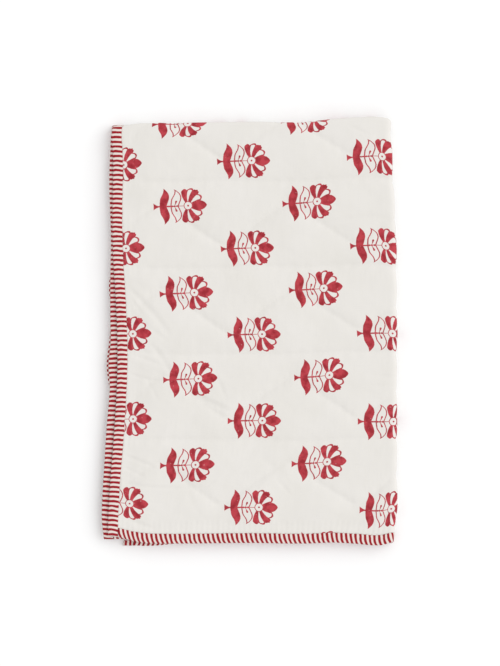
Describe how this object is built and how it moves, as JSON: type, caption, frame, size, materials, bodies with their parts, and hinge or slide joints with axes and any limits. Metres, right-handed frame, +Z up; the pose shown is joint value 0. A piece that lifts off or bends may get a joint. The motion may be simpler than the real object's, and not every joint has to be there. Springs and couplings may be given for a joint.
{
  "type": "folded cot quilt",
  "caption": "Hand-quilted, block-printed cotton cot quilt with striped binding, folded in half twice into a flat rectangular stack of layers.",
  "frame": {"origin": "bottom centre of the folded stack's bounding box, on the surface that it lies on", "axes": "+Z up; +Y from the free front edges towards the back fold; +X from the free left edges towards the right-hand fold"},
  "size_m": [0.4174, 0.6058, 0.0239],
  "materials": {
    "printed_cotton": "matt plain-weave cotton, off-white with a red block print",
    "striped_cotton": "matt plain-weave cotton with narrow red and white stripes"
  },
  "bodies": {
    "root": {"quilted_body": "printed_cotton", "binding_upper_side": "striped_cotton", "binding_lower_side": "striped_cotton", "binding_outer_end": "striped_cotton", "binding_inner_end": "striped_cotton"}
  },
  "joints": []
}
